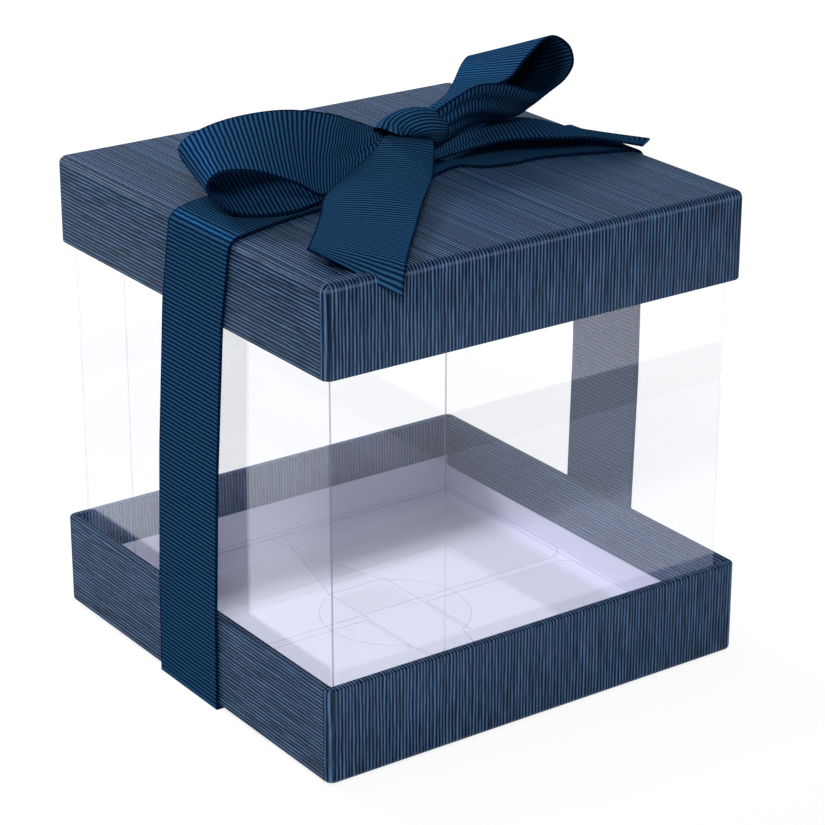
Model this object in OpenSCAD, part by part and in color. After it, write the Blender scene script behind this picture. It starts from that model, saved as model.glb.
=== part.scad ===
// Favor box: a square gift box for one small cake or sweet, made of a paper-covered board tray,
// a clear folded sleeve, a paper-covered board lid and one ribbon tied in a bow on top.
// The origin is the middle of the face that the box stands on. +Z is up, -Y is the front.

/* [Clear sleeve] */
// Outer width of the square clear sleeve
sleeve_w = 95.7; // [70:0.1:130]
// Height of the clear sleeve from its folded bottom to its open top
sleeve_h = 97; // [70:0.5:140]
// Thickness of the clear film
film_t = 0.3; // [0.2:0.05:0.5]
// Outer radius of the sleeve's four upright creases
crease_r = 0.8; // [0.6:0.1:2]
// Width of the glued seam flap inside the back wall
seam_w = 11; // [6:0.5:18]
// Reach of the left and right bottom flaps before their round noses
side_flap_reach = 46; // [30:0.5:46.5]
// Reach of the front bottom flap
front_flap_reach = 47; // [30:0.5:47]
// Reach of the back bottom flap
back_flap_reach = 46.5; // [30:0.5:47]
// Radius of the round noses where the side flaps lap over each other
nose_r = 16.5; // [10:0.5:20]
// Width of the locking tongue on the front flap
tongue_w = 14.6; // [8:0.2:20]
// Reach of the locking tongue past the front flap's edge
tongue_reach = 15; // [8:0.5:24]
// Length of the two slits beside the tongue's root
slit_l = 16; // [6:0.5:24]
// Width of those slits
slit_w = 0.4; // [0.3:0.1:1]
// Corner radius of the front and back flaps
flap_corner_r = 5; // [2:0.5:10]

/* [Tray] */
// Outer height of the tray
tray_h = 20.1; // [12:0.1:40]
// Thickness of the tray's board
tray_board_t = 1.5; // [1:0.1:2.5]
// Gap between the sleeve and the tray's inner wall, all round
tray_clear = 1; // [0.4:0.1:2]
// Depth of the wrap turned in over the front and back rims
tray_turn_in_y = 9.5; // [5:0.5:11]
// Depth of the wrap turned in over the left and right rims
tray_turn_in_x = 12; // [5:0.5:14]
// Radius of the tray's four upright corners
tray_corner_r = 1.8; // [1.2:0.1:4]
// Radius round the tray's bottom edges
tray_edge_r = 0.9; // [0.6:0.1:1.5]

/* [Lid] */
// Outer height of the lid
lid_h = 18.7; // [12:0.1:40]
// Thickness of the lid's board
lid_board_t = 1.2; // [1:0.1:2.5]
// Gap between the sleeve and the lid's inner wall, all round
lid_clear = 0.3; // [0.2:0.05:1]
// Depth of the wrap turned in over the front and back rims
lid_turn_in_y = 9; // [5:0.5:11]
// Depth of the wrap turned in over the left and right rims
lid_turn_in_x = 11; // [5:0.5:14]
// Radius of the lid's four upright corners
lid_corner_r = 2.2; // [1.2:0.1:4]
// Radius round the lid's top edges
lid_edge_r = 2; // [0.6:0.1:3]

/* [Paper] */
// Thickness of the textured wrap paper
wrap_t = 0.2; // [0.15:0.01:0.3]
// Thickness of the white lining paper
lining_t = 0.15; // [0.1:0.01:0.3]
// Thickness of the corner stay tape under the wrap
stay_t = 0.08; // [0.05:0.01:0.1]
// Glue line between a paper and the board
glue_t = 0.12; // [0.11:0.01:0.2]
// Length of a corner stay along each wall
stay_leg = 12; // [6:0.5:20]
// Gap between the lining's upper edge and the turned-in wrap
lining_gap = 0.2; // [0.1:0.05:1]

/* [Ribbon] */
// Width of the grosgrain ribbon
ribbon_w = 22; // [16:0.5:25]
// Thickness of the ribbon
ribbon_t = 0.45; // [0.3:0.05:0.6]
// Gap between the ribbon and the lid and tray that it passes
ribbon_gap = 0.3; // [0.2:0.05:0.8]
// Gap where the side stretches turn under the tray
turn_gap = 0.3; // [0.2:0.05:0.8]
// Gap between the bow's strips and the knot
knot_gap = 0.2; // [0.1:0.05:0.6]
// Length of the knot along the box's width
knot_l = 14; // [10:0.5:18]
// Height of the knot at its middle
knot_d = 11.2; // [8:0.2:14]
// Height of the knot at its two ends
knot_end_d = 9.4; // [6:0.2:9.6]
// Distance of the knot's middle from the box's middle, to the right
knot_x = 4; // [0:0.5:8]
// Reach of the left loop outwards from the knot, with its slant
loop_left_reach = 45; // [30:0.5:55]
// Height of the left loop above the ribbon's top stretches
loop_left_rise = 15; // [10:0.5:22]
// Reach of the right loop outwards from the knot, with its slant
loop_right_reach = 37; // [24:0.5:48]
// Height of the right loop above the ribbon's top stretches
loop_right_rise = 20; // [12:0.5:28]

/* [Fits] */
// Gap where one resting part stands on another
seat_gap = 0.05; // [0:0.01:0.2]

/* [Hidden] */

// One overrun serves every cut
over = 1;
// Facets of the round shapes
round_fn = 64;

// Walls of the two board halves, from the outer paper to the inner paper
tray_wall = 2 * (wrap_t + glue_t) + tray_board_t;
lid_wall = 2 * (wrap_t + glue_t) + lid_board_t;
tray_w = sleeve_w + 2 * (tray_clear + tray_wall);
lid_w = sleeve_w + 2 * (lid_clear + lid_wall);

// Levels, from the standing face upwards
tray_z = ribbon_t + seat_gap;
tray_floor = wrap_t + glue_t + tray_board_t + glue_t + lining_t;
sleeve_z = tray_z + tray_floor + seat_gap;
lid_floor = wrap_t + glue_t + lid_board_t + glue_t + lining_t;
lid_top = sleeve_z + sleeve_h + seat_gap + lid_floor;

// A square with round corners, centred on the origin
module round_square(w, r) {
    square([w - 2 * r, w], center = true);
    square([w, w - 2 * r], center = true);
    for (x = [-1, 1], y = [-1, 1])
        translate([x * (w / 2 - r), y * (w / 2 - r)]) circle(r, $fn = round_fn);
}

// The upright cut through a block: square above, with its two lower corners rounded
module soft_profile(w, h, r) {
    translate([-w / 2, r]) square([w, h - r]);
    translate([r - w / 2, 0]) square([w - 2 * r, h]);
    for (side = [-1, 1]) translate([side * (w / 2 - r), r]) circle(r, $fn = round_fn);
}

// A square block with round upright corners and a smaller round along its lower edges
module soft_block(w, h, corner_r, edge_r) {
    intersection() {
        linear_extrude(h) round_square(w, corner_r);
        rotate([90, 0, 0]) linear_extrude(w + over, center = true) soft_profile(w, h, edge_r);
        rotate([90, 0, 90]) linear_extrude(w + over, center = true) soft_profile(w, h, edge_r);
    }
}

// One rigid half box, standing on its closed side. The lid is the same half turned over.
// The board: a floor and four walls, all one thickness
module half_board(w, h, board_t, corner_r, edge_r) {
    skin = wrap_t + glue_t;
    difference() {
        translate([0, 0, skin]) soft_block(w - 2 * skin, h - 2 * skin, corner_r - skin, edge_r - skin);
        translate([0, 0, skin + board_t])
            linear_extrude(h) square(w - 2 * (skin + board_t), center = true);
    }
}

// The wrap: one sheet over the closed side, up the walls, over the rim and down inside
module half_wrap(w, h, board_t, corner_r, edge_r, turn_x, turn_y) {
    skin = wrap_t + glue_t;
    floor_z = skin + board_t;
    outside = w - 2 * skin;
    inside = w - 2 * (2 * skin + board_t);
    difference() {
        soft_block(w, h, corner_r, edge_r);
        // Room for the board and its glue line
        difference() {
            translate([0, 0, wrap_t])
                soft_block(w - 2 * wrap_t, h - 2 * wrap_t, corner_r - wrap_t, edge_r - wrap_t);
            translate([0, 0, floor_z + glue_t])
                linear_extrude(h) square(inside + 2 * wrap_t, center = true);
        }
        // The open inside, as wide as the room below the turned-in edges
        translate([0, 0, floor_z]) {
            linear_extrude(h) square(inside, center = true);
            linear_extrude(h - floor_z - turn_x) square([outside, inside], center = true);
            linear_extrude(h - floor_z - turn_y) square([inside, outside], center = true);
            linear_extrude(h - floor_z - max(turn_x, turn_y)) square(outside, center = true);
        }
    }
}

// The stays: four strips of tape that tie the board's corners before it is wrapped
module half_stays(w, h, corner_r) {
    skin = wrap_t + glue_t;
    low = skin + corner_r;
    outer = w - 2 * skin + 2 * stay_t;
    translate([0, 0, low])
        linear_extrude(h - 2 * low)
            difference() {
                round_square(outer, corner_r - skin + stay_t);
                round_square(w - 2 * skin, corner_r - skin);
                square([outer + over, outer - 2 * stay_leg], center = true);
                square([outer - 2 * stay_leg, outer + over], center = true);
            }
}

// The lining: white paper on the inner floor and on the walls up to the turned-in wrap
module half_lining(w, h, board_t, turn_x, turn_y) {
    skin = wrap_t + glue_t;
    inner = w - 2 * (skin + board_t + glue_t);
    floor_z = skin + board_t + glue_t;
    high_x = h - turn_x - lining_gap - floor_z;
    high_y = h - turn_y - lining_gap - floor_z;
    translate([0, 0, floor_z]) {
        linear_extrude(lining_t) square(inner, center = true);
        for (side = [-1, 1]) {
            translate([side * (inner - lining_t) / 2, 0, high_x / 2])
                cube([lining_t, inner, high_x], center = true);
            translate([0, side * (inner - lining_t) / 2, high_y / 2])
                cube([inner, lining_t, high_y], center = true);
        }
    }
}

// Puts a half box where the tray stands
module as_tray() {
    translate([0, 0, tray_z]) children();
}

// Turns a half box over and sets it on the sleeve
module as_lid() {
    translate([0, 0, lid_top]) mirror([0, 0, 1]) children();
}

module tray_board() {
    color("tan") as_tray() half_board(tray_w, tray_h, tray_board_t, tray_corner_r, tray_edge_r);
}

module tray_wrap() {
    color("#27466c") as_tray()
        half_wrap(tray_w, tray_h, tray_board_t, tray_corner_r, tray_edge_r, tray_turn_in_x, tray_turn_in_y);
}

module tray_corner_stays() {
    color("wheat") as_tray() half_stays(tray_w, tray_h, tray_corner_r);
}

module tray_lining() {
    color("white") as_tray()
        half_lining(tray_w, tray_h, tray_board_t, tray_turn_in_x, tray_turn_in_y);
}

module lid_board() {
    color("tan") as_lid() half_board(lid_w, lid_h, lid_board_t, lid_corner_r, lid_edge_r);
}

module lid_wrap() {
    color("#27466c") as_lid()
        half_wrap(lid_w, lid_h, lid_board_t, lid_corner_r, lid_edge_r, lid_turn_in_x, lid_turn_in_y);
}

module lid_corner_stays() {
    color("wheat") as_lid() half_stays(lid_w, lid_h, lid_corner_r);
}

module lid_lining() {
    color("white") as_lid()
        half_lining(lid_w, lid_h, lid_board_t, lid_turn_in_x, lid_turn_in_y);
}

// The sleeve's four walls, creased from one sheet, with the seam flap glued inside the back wall
module sleeve_walls() {
    inner = sleeve_w - 2 * film_t;
    color("azure", 0.35) translate([0, 0, sleeve_z]) linear_extrude(sleeve_h) {
        difference() {
            round_square(sleeve_w, crease_r);
            round_square(inner, crease_r - film_t);
        }
    }
    // The seam flap sinks half a film into the back wall that it is glued to
    color("azure", 0.35) translate([-inner / 2 + crease_r - film_t, inner / 2 - film_t, sleeve_z + 4 * layer])
        cube([seam_w - crease_r + film_t, film_t + film_t / 2, sleeve_h - 4 * layer]);
}

// The four bottom flaps lie on each other inside the sleeve: left, right, front, back
flap_w = sleeve_w - 2 * film_t - 2 * seat_gap;
flap_half = flap_w / 2;
layer = film_t + seat_gap;

module as_flap(number) {
    color("azure", 0.35) translate([0, 0, sleeve_z + number * layer]) linear_extrude(film_t) children();
}

// A side flap's outline: full width from its crease, then slanting in to a round nose
module side_flap_outline() {
    nose_y_share = 0.9;
    shoulder_x = side_flap_reach - flap_half;
    nose_y = nose_y_share * nose_r;
    nose_x = sqrt(nose_r * nose_r - nose_y * nose_y);
    polygon([[-flap_half, -flap_half], [shoulder_x, -flap_half], [nose_x, -nose_y],
        [nose_x, nose_y], [shoulder_x, flap_half], [-flap_half, flap_half]]);
    circle(nose_r, $fn = round_fn);
}

module flap_left() {
    as_flap(0) side_flap_outline();
}

module flap_right() {
    as_flap(1) mirror([1, 0]) side_flap_outline();
}

// A front or back flap's outline: a rectangle from its crease with its free corners rounded
module main_flap_outline(reach) {
    narrow = flap_half - flap_corner_r;
    translate([-flap_half, -flap_half]) square([flap_w, reach - flap_corner_r]);
    translate([-narrow, -flap_half]) square([2 * narrow, reach]);
    for (side = [-1, 1])
        translate([side * narrow, reach - flap_half - flap_corner_r])
            circle(flap_corner_r, $fn = round_fn);
}

module flap_front() {
    edge_y = front_flap_reach - flap_half;
    as_flap(2) difference() {
        union() {
            main_flap_outline(front_flap_reach);
            translate([-tongue_w / 2, edge_y - film_t]) square([tongue_w, tongue_reach + film_t]);
        }
        for (side = [-1, 1])
            translate([side * (tongue_w + slit_w) / 2 - slit_w / 2, edge_y - slit_l])
                square([slit_w, slit_l + over]);
    }
}

module flap_back() {
    as_flap(3) mirror([0, 1]) main_flap_outline(back_flap_reach);
}

// Smooth curve through hand-placed stations, passing through each of them
function curve_part(a, b, c, d, t) =
    (2 * b + (c - a) * t + (2 * a - 5 * b + 4 * c - d) * t * t + (3 * b - a - 3 * c + d) * t * t * t) / 2;
function curve(list, steps) = let (last = len(list) - 1) [
    for (i = [0 : last - 1], k = [0 : steps - 1])
        curve_part(list[max(i - 1, 0)], list[i], list[i + 1], list[min(i + 2, last)], k / steps),
    list[last]];
function unit(v) = v / norm(v);

// A strip of ribbon swept along stations. A station is the middle of the strip's two edges, the
// way from there to its far edge, and how far the strip bulges between its edges.
module ribbon_sweep(stations, steps) {
    middles = curve([for (s = stations) s[0]], steps);
    halves = curve([for (s = stations) s[1]], steps);
    bulges = curve([for (s = stations) s[2]], steps);
    last = len(middles) - 1;
    points = [for (i = [0 : last])
        let (along = middles[min(i + 1, last)] - middles[max(i - 1, 0)],
             up = unit(cross(along, halves[i])),
             skin = up * ribbon_t / 2,
             row = [middles[i] - halves[i], middles[i] + up * bulges[i], middles[i] + halves[i]])
        each [row[0] - skin, row[1] - skin, row[2] - skin, row[2] + skin, row[1] + skin, row[0] + skin]];
    ring = 6;
    sides = [for (i = [0 : last - 1], k = [0 : ring - 1])
        let (a = ring * i + k, b = ring * i + (k + 1) % ring)
        each [[a, b, b + ring], [a, b + ring, a + ring]]];
    cap = [[0, 4, 1], [0, 5, 4], [1, 3, 2], [1, 4, 3]];
    far_cap = [for (t = cap) [t[0], t[2], t[1]] + ring * last * [1, 1, 1]];
    polyhedron(points, concat(sides, cap, far_cap));
}

// A side stretch: over the lid's edge, down the lid, across to the tray's rim and down the tray.
// Its middle leans sideways by a share of the lid's width that depends on the height.
LEAN_LEFT_SHARES = [[0, -0.001], [0.2, -0.006], [0.5, -0.017], [0.82, -0.042], [1, -0.078]];
LEAN_RIGHT_SHARES = [[0, -0.04], [0.2, -0.047], [0.5, -0.062], [0.82, -0.068], [1, -0.065]];
edge_steps = 4;
out = ribbon_gap + ribbon_t / 2;

function side_path() = concat(
    [for (k = [0 : edge_steps])
        let (turn = 90 * k / edge_steps, r = lid_edge_r + out)
        [lid_w / 2 - lid_edge_r + r * sin(turn), lid_top - lid_edge_r + r * cos(turn)]],
    [[lid_w / 2 + out, lid_top - lid_h], [tray_w / 2 + out, tray_z + tray_h],
     [tray_w / 2 + out, ribbon_t + turn_gap]]);

module side_stretch(side, lean_shares) {
    stations = [for (p = side_path())
        [[side * p[0], lid_w * lookup(p[1] / lid_top, lean_shares), p[1]],
         [0, ribbon_w / 2, 0], 0]];
    ribbon_sweep(stations, 1);
}

module ribbon_side_left() {
    color("#0f3f66") side_stretch(-1, LEAN_LEFT_SHARES);
}

module ribbon_side_right() {
    color("#0f3f66") side_stretch(1, LEAN_RIGHT_SHARES);
}

// The strip under the tray joins the two side stretches, so it runs slightly askew
module ribbon_underside() {
    half_l = tray_w / 2 + ribbon_gap + ribbon_t;
    left_y = lid_w * LEAN_LEFT_SHARES[0][1];
    right_y = lid_w * LEAN_RIGHT_SHARES[0][1];
    color("#0f3f66") linear_extrude(ribbon_t)
        polygon([[-half_l, left_y - ribbon_w / 2], [half_l, right_y - ribbon_w / 2],
            [half_l, right_y + ribbon_w / 2], [-half_l, left_y + ribbon_w / 2]]);
}

// The top stretches: from the lid's edge to the knot, drawn in narrower where the knot grips them.
// Each row is the place along the stretch, the sideways place in shares of the lid's width,
// and the width in shares of the ribbon's width.
TOP_LEFT_SHARES = [[0, -0.078, 1], [0.15, -0.062, 1], [0.35, -0.04, 0.96], [0.65, -0.026, 0.85],
    [1, -0.012, 0.6]];
TOP_RIGHT_SHARES = [[0, -0.065, 1], [0.3, -0.05, 0.88], [0.55, -0.042, 0.72], [0.8, -0.024, 0.58],
    [1, -0.012, 0.6]];
top_steps = 3;

module top_stretch(side, rows_shares) {
    start = side * (lid_w / 2 - lid_edge_r - ribbon_gap);
    finish = knot_x + side * ribbon_gap / 2;
    stations = [for (row = rows_shares)
        [[start + (finish - start) * row[0], lid_w * row[1], lid_top + out],
         [0, ribbon_w * row[2] / 2, 0], 0]];
    ribbon_sweep(stations, top_steps);
}

module ribbon_top_left() {
    color("#0f3f66") top_stretch(-1, TOP_LEFT_SHARES);
}

module ribbon_top_right() {
    color("#0f3f66") top_stretch(1, TOP_RIGHT_SHARES);
}

// The knot: a barrel of gathered ribbon lying on the top stretches
bow_z = lid_top + ribbon_gap + ribbon_t;
knot_left = knot_x - knot_l / 2;
knot_right = knot_x + knot_l / 2;

module bow_knot() {
    bulge = (knot_d - knot_end_d) / 2;
    barrel_r = (knot_l * knot_l / 4 + bulge * bulge) / (2 * bulge);
    color("#0f3f66") translate([knot_x, 0, bow_z + seat_gap + knot_d / 2]) rotate([0, 90, 0])
        rotate_extrude($fn = round_fn) intersection() {
            translate([knot_d / 2 - barrel_r, 0]) circle(barrel_r, $fn = 4 * round_fn);
            translate([0, -knot_l / 2]) square([knot_d, knot_l]);
        }
}

// The bow's strips start at the knot. A row holds the place of the strip's middle, the way from
// there to its far edge, both in shares of the strip's own sizes, and the bulge between its
// edges in shares of the ribbon's width. The places count outwards from the knot, back from the
// middle of the lid, and up from the top stretches.
LOOP_LEFT_SHARES = [
    [[0, 0.01, 0.5], [0, 0.15, 0.04], 0],
    [[0.2, -0.05, 0.43], [-0.08, 0.22, 0.22], 0.05],
    [[0.35, -0.21, 0.49], [-0.13, 0.35, 0.36], 0.06],
    [[0.54, -0.19, 0.7], [-0.1, 0.41, 0.29], 0.03],
    [[0.73, -0.07, 0.78], [-0.1, 0.47, 0.14], 0],
    [[0.87, 0.08, 0.7], [-0.09, 0.47, 0.07], 0],
    [[0.92, 0.17, 0.49], [-0.07, 0.48, 0.04], 0],
    [[0.89, 0.15, 0.25], [-0.08, 0.47, 0], 0],
    [[0.78, -0.01, 0.08], [-0.09, 0.47, 0.02], 0],
    [[0.56, -0.15, 0.055], [-0.1, 0.47, 0.01], 0],
    [[0.26, -0.09, 0.07], [-0.07, 0.32, 0.01], 0],
    [[0, 0, 0.13], [0, 0.18, 0], 0]];
LOOP_RIGHT_SHARES = [
    [[0, 0.1, 0.47], [0, 0.12, -0.04], 0],
    [[0.13, 0.18, 0.51], [0, 0.23, -0.08], 0],
    [[0.3, 0.25, 0.55], [0.01, 0.38, -0.12], 0],
    [[0.45, 0.39, 0.61], [0, 0.44, -0.13], 0],
    [[0.62, 0.55, 0.73], [-0.03, 0.44, -0.13], 0],
    [[0.78, 0.67, 0.8], [-0.08, 0.43, -0.19], 0],
    [[0.88, 0.64, 0.69], [-0.1, 0.43, -0.19], 0],
    [[0.89, 0.58, 0.5], [-0.1, 0.43, -0.2], 0],
    [[0.8, 0.48, 0.39], [-0.1, 0.43, -0.21], 0.04],
    [[0.69, 0.33, 0.33], [-0.08, 0.36, -0.2], 0.08],
    [[0.55, 0.13, 0.35], [-0.05, 0.25, -0.18], 0.09],
    [[0.34, -0.01, 0.42], [-0.03, 0.2, -0.21], 0.06],
    [[0.15, -0.11, 0.53], [-0.01, 0.11, -0.25], 0.03],
    [[0, -0.15, 0.38], [0, 0.01, -0.13], 0]];
TAIL_FRONT_SHARES = [
    [[-0.07, -0.01, 0.71], [-0.09, 0.03, -0.11], 0],
    [[-0.02, 0.03, 0.53], [-0.11, 0.05, -0.07], 0.04],
    [[0.16, 0.18, 0.29], [-0.16, 0.09, -0.07], 0.05],
    [[0.35, 0.35, 0.23], [-0.17, 0.12, -0.04], 0.04],
    [[0.5, 0.54, 0.15], [-0.14, 0.15, -0.03], 0],
    [[0.67, 0.75, 0.13], [-0.12, 0.18, -0.02], 0],
    [[0.79, 0.9, 0.09], [-0.12, 0.17, -0.16], 0.05],
    [[0.83, 0.95, -0.02], [-0.12, 0.17, -0.33], 0.07]];
TAIL_BACK_SHARES = [
    [[0.02, -0.06, 0.22], [0.01, 0.09, 0.09], 0],
    [[0.22, 0.07, 0.23], [0.08, 0.3, 0], 0.03],
    [[0.42, 0.1, 0.25], [0.13, 0.41, -0.06], 0.03],
    [[0.56, -0.01, 0.25], [0.12, 0.42, -0.07], 0.02],
    [[0.68, -0.15, 0.24], [0.09, 0.38, -0.06], 0],
    [[0.79, -0.31, 0.19], [0.05, 0.31, -0.07], 0],
    [[0.9, -0.58, 0.15], [0.02, 0.24, -0.03], 0],
    [[1, -0.84, 0.12], [0.06, 0.07, 0], 0]];
loop_steps = 4;
tail_steps = 3;

// A strip of the bow from its start at the knot, where size gives the direction and the length
// that a whole share stands for along each axis
module bow_strip(rows_shares, start, size, steps) {
    function sized(v) = [v[0] * size[0], v[1] * size[1], v[2] * size[2]];
    stations = [for (row = rows_shares)
        [[start[0], start[1], bow_z] + sized(row[0]), sized(row[1]), row[2] * ribbon_w]];
    color("#0f3f66") ribbon_sweep(stations, steps);
}

module bow_loop_left() {
    bow_strip(LOOP_LEFT_SHARES, [knot_left - knot_gap, 0],
        [-loop_left_reach, ribbon_w, loop_left_rise], loop_steps);
}

module bow_loop_right() {
    bow_strip(LOOP_RIGHT_SHARES, [knot_right + knot_gap, 0],
        [loop_right_reach, ribbon_w, loop_right_rise], loop_steps);
}

// The front tail runs from the knot's side to the lid's front left corner
module bow_tail_front() {
    bow_strip(TAIL_FRONT_SHARES, [knot_left, -knot_d / 2],
        [-knot_left - lid_w / 2, knot_d / 2 - lid_w / 2, knot_d], tail_steps);
}

// The back tail runs from the knot's right end to the lid's right edge
module bow_tail_back() {
    bow_strip(TAIL_BACK_SHARES, [knot_right + knot_gap, 0],
        [lid_w / 2 - knot_right - knot_gap, ribbon_w, knot_d], tail_steps);
}

tray_board();
tray_wrap();
tray_corner_stays();
tray_lining();
sleeve_walls();
flap_left();
flap_right();
flap_front();
flap_back();
lid_board();
lid_wrap();
lid_corner_stays();
lid_lining();
ribbon_side_left();
ribbon_side_right();
ribbon_top_left();
ribbon_top_right();
ribbon_underside();
bow_knot();
bow_loop_left();
bow_loop_right();
bow_tail_front();
bow_tail_back();
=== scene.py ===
"""Looks of a clear-sided favor box: a paper-covered tray and lid, a clear sleeve and a ribbon bow.

Lengths are metres unless a name ends in _mm. +Z is up and -Y is the box's front face.
"""

from __future__ import annotations

import logging
import math
from dataclasses import dataclass, field, replace
from enum import Enum
from typing import Callable, Sequence

import bpy
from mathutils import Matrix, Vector

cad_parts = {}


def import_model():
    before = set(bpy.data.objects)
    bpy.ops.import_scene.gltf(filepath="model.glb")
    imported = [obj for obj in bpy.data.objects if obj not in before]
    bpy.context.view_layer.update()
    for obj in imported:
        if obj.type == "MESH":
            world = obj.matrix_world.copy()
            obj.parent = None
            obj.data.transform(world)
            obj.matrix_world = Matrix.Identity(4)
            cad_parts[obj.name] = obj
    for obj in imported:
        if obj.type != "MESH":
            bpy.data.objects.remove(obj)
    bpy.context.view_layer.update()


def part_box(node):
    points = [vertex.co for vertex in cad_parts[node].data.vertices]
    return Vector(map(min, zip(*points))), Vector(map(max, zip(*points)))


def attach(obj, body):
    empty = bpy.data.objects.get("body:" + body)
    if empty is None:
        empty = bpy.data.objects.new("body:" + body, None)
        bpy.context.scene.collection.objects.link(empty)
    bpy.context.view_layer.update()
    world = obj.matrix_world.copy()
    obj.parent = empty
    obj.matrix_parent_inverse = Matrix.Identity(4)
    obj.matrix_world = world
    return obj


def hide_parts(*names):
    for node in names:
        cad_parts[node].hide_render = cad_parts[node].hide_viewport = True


LOG = logging.getLogger("favor_box")
MM = 0.001
SHEET_MAP = "sheet"
FOLD_WEAR_AND_SHADING_MARK = "fold"
SHADE_MARK = "shade"
RIBBON_WIDTH = 22 * MM
FOLD_GAP_MM = 0.7
# How fast a folded edge leaves the sheet, and what brings a line's bow to its full depth
FOLD_RISE = 4
BOW_GAIN = 2.6
# The share of the ribbon's width over which the painted shade on its inner face fades in
SHADE_SOFTNESS = 0.15
# Slopes at which folds are painted pale, with wear and painted highlight, and dark, with painted
# shade, and their spread, in degrees
PALE_FOLD_SLOPE = 18
PALE_FOLD_SPREAD = 14
SHADED_FOLD_SLOPE = 54
SHADED_FOLD_SPREAD = 28
# A face is level where the upright part of its normal is above this
LEVEL = 0.9
# The colour mix node's two colours and its mixed colour, among its inputs and outputs
MIX_FIRST, MIX_SECOND, MIX_RESULT = 6, 7, 2
FINE_DETAIL = 2.0
FROST_ROUGHNESS = 0.3

# Two sizes across and along a sheet, a factor and an addend, or a relief's depth and strength
Pair = tuple[float, float]
Point = tuple[float, float, float]
Colour = tuple[float, ...]
Material = bpy.types.Material
Node = bpy.types.Node
Piece = bpy.types.Object
Socket = bpy.types.NodeSocket


def srgb(red: int, green: int, blue: int) -> Colour:
    """Turns a screen colour into the linear colour that a shader takes.

    Args:
        red: The red part, 0 to 255.
        green: The green part, 0 to 255.
        blue: The blue part, 0 to 255.

    Returns:
        The linear colour with full opacity.
    """
    knee, low, scale, shift, power = 0.04045, 12.92, 1.055, 0.055, 2.4

    def linear(part: int) -> float:
        """Gives one linear part."""
        value = part / 255
        return value / low if value <= knee else ((value + shift) / scale) ** power

    return (linear(red), linear(green), linear(blue), 1.0)


def grey(level: float) -> Colour:
    """Gives the linear grey of that level with full opacity."""
    return (level, level, level, 1.0)


WHITE = grey(1.0)


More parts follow.
